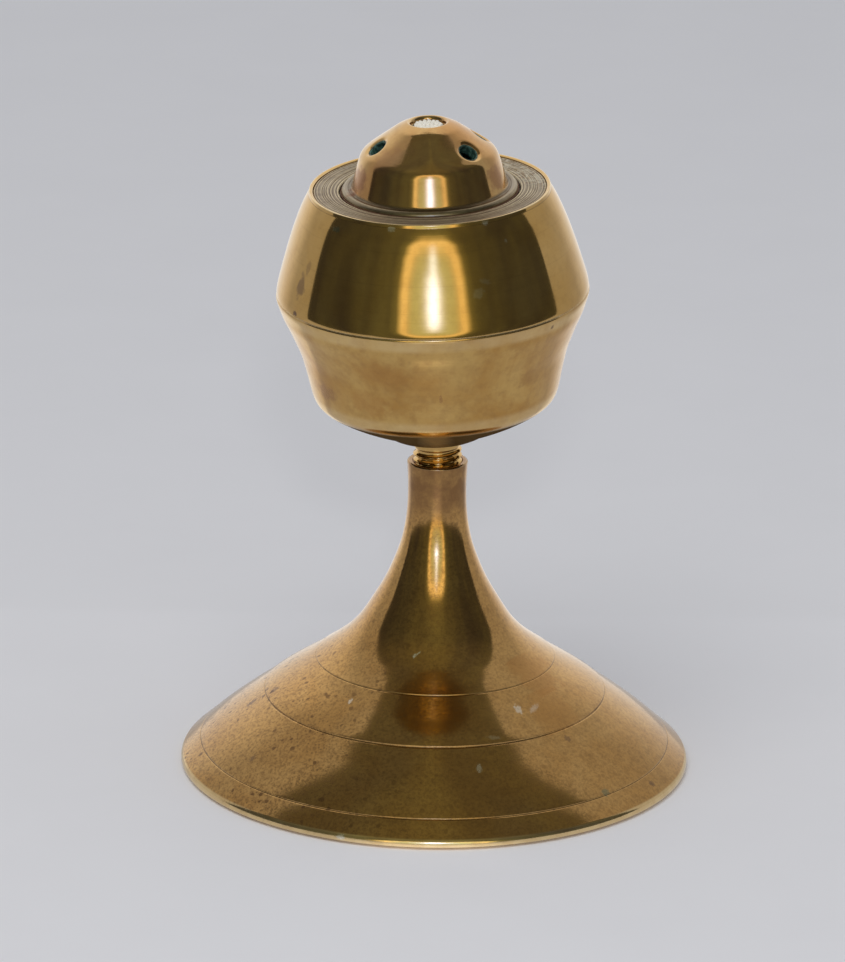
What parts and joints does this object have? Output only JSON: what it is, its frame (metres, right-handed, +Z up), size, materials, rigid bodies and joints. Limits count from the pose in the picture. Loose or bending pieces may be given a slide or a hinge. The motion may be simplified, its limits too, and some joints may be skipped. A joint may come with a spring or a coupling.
{
  "type": "alcohol burner",
  "caption": "Small turned-metal spirit burner: trumpet foot with slim stem, screw-on biconical fuel head, and a perforated dome burner cap around a central wick.",
  "frame": {"origin": "centre of the round rest face under the foot", "axes": "+Z up along the foot's own axis; -Y is the front; the head's axis leans 2.2 degrees towards -X and 1.2 degrees towards -Y from +Z"},
  "size_m": [0.0742, 0.0742, 0.0983],
  "materials": {
    "foot_brass": "aged polished brass with brown tarnish speckles",
    "head_brass": "polished brass, lightly aged",
    "deck_brass": "satin, heat-browned, with turning marks and residue",
    "dome_brass": "polished, browned, verdigris in the drilled holes",
    "tube_brass": "dull drawn tube",
    "wick_cotton": "off-white cotton strands, slightly charred",
    "fibre_washer": "dark vulcanised fibre or leather packing"
  },
  "bodies": {
    "foot": {"pedestal_foot": "foot_brass"},
    "head_screw": {"socket_pad": "fibre_washer"},
    "head": {"reservoir_spigot": "head_brass", "reservoir_cup": "head_brass", "reservoir_cone": "head_brass", "deck_plate": "deck_brass", "filler_collar": "deck_brass"},
    "burner_screw": {"burner_gasket": "fibre_washer"},
    "burner": {"burner_dome": "dome_brass", "wick_carrier": "tube_brass", "wick_tube": "tube_brass"},
    "wick": {"wick": "wick_cotton"}
  },
  "joints": [
    {"name": "head_turn", "type": "hinge", "parent": "foot", "child": "head_screw", "pos_m": [0, 0, 0.0466], "axis": [-0.0384, -0.0209, 0.999], "range_deg": [-540, 2160]},
    {"name": "head_rise", "type": "slide", "parent": "head_screw", "child": "head", "axis": [-0.0384, -0.0209, 0.999], "range_m": [-0.00136, 0.00541]},
    {"name": "burner_turn", "type": "hinge", "parent": "head", "child": "burner_screw", "pos_m": [0, 0, 0.0466], "axis": [-0.0384, -0.0209, 0.999], "range_deg": [0, 1080]},
    {"name": "burner_rise", "type": "slide", "parent": "burner_screw", "child": "burner", "axis": [-0.0384, -0.0209, 0.999], "range_m": [0, 0.00376]},
    {"name": "wick_feed", "type": "slide", "parent": "burner", "child": "wick", "axis": [-0.0384, -0.0209, 0.999], "range_m": [-0.003, 0.004]}
  ],
  "couplings": [
    {"joint": "head_rise", "follows": "head_turn", "m_per_rad": 0.00014324},
    {"joint": "burner_rise", "follows": "burner_turn", "m_per_rad": 0.00019894}
  ]
}
